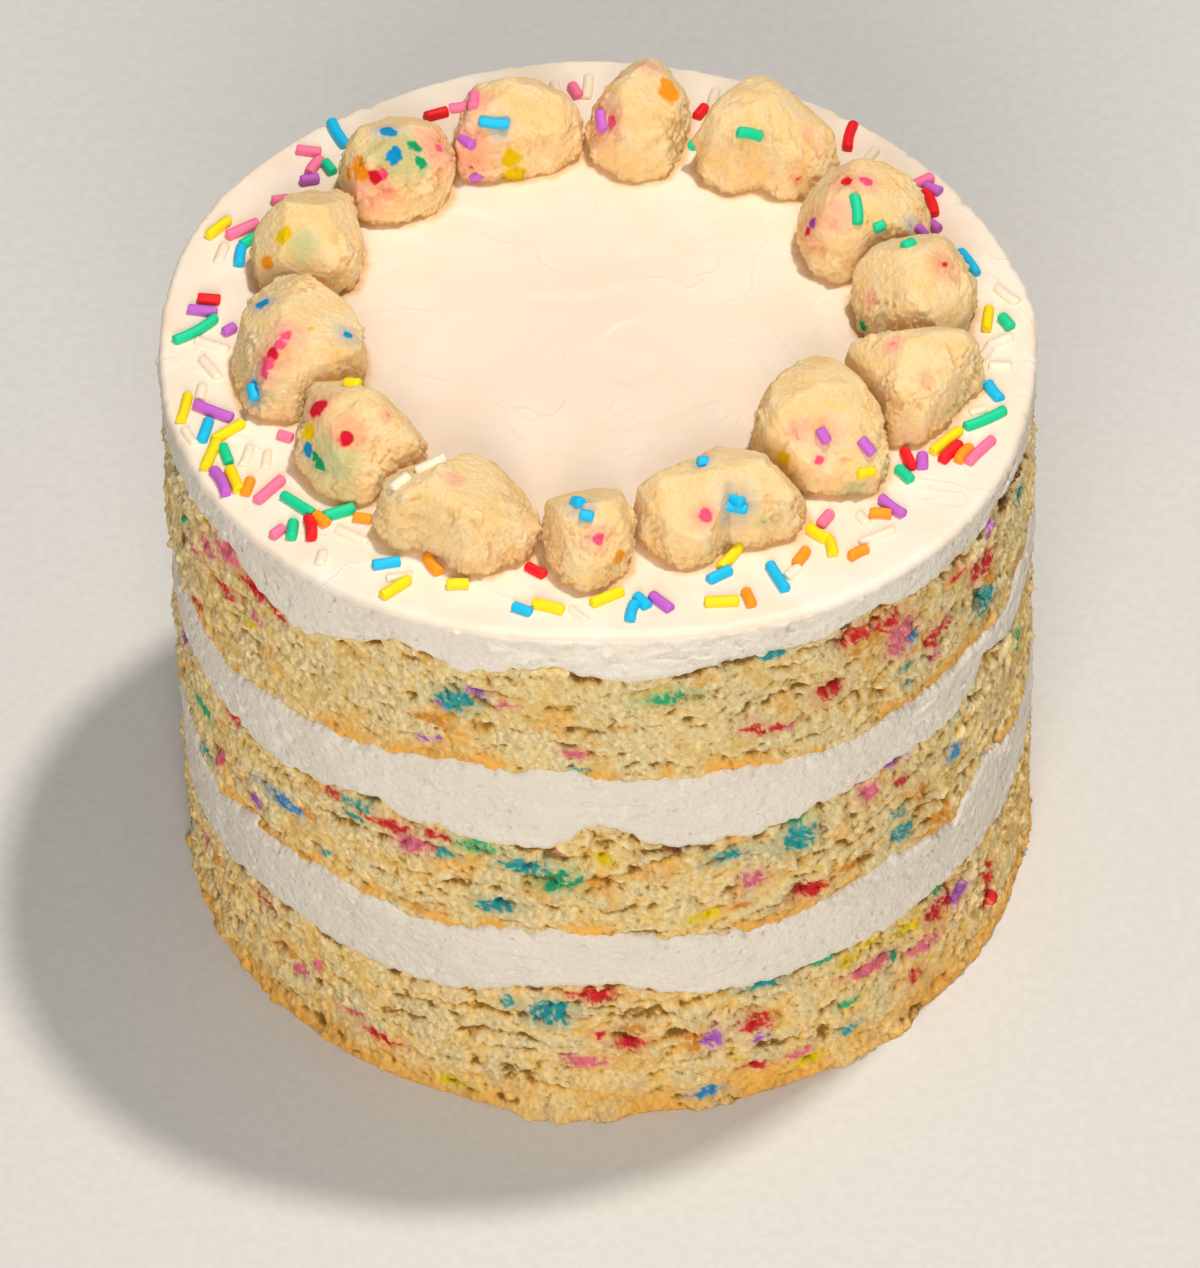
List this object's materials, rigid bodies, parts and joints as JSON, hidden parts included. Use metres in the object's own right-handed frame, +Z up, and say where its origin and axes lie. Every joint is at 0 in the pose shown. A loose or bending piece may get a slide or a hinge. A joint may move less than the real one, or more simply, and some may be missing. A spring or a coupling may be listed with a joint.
{
  "type": "layer cake with crumb clusters and sprinkles",
  "caption": "Round uncoated layer cake of sponge and frosting bands, ringed on top with crumb clusters and rod sprinkles, standing on its flat underside.",
  "frame": {"origin": "middle of the flat underside", "axes": "+Z up, the shortest extent; -Y is the front"},
  "size_m": [0.1533, 0.1536, 0.1301],
  "materials": {
    "sponge": "torn confetti sponge, matte",
    "side_frosting": "scraped vanilla frosting, satin",
    "top_frosting": "spread vanilla frosting, satin",
    "crumble": "baked crumble, matte"
  },
  "bodies": {
    "root": {"sponge_bottom": "sponge", "frosting_lower": "side_frosting", "sponge_middle": "sponge", "frosting_middle": "side_frosting", "sponge_top": "sponge", "frosting_top": "top_frosting", "crumb_01": "crumble", "crumb_02": "crumble", "crumb_03": "crumble", "crumb_04": "crumble", "crumb_05": "crumble", "crumb_06": "crumble", "crumb_07": "crumble", "crumb_08": "crumble", "crumb_09": "crumble", "crumb_10": "crumble", "crumb_11": "crumble", "crumb_12": "crumble", "crumb_13": "crumble", "crumb_14": "crumble"}
  },
  "joints": []
}
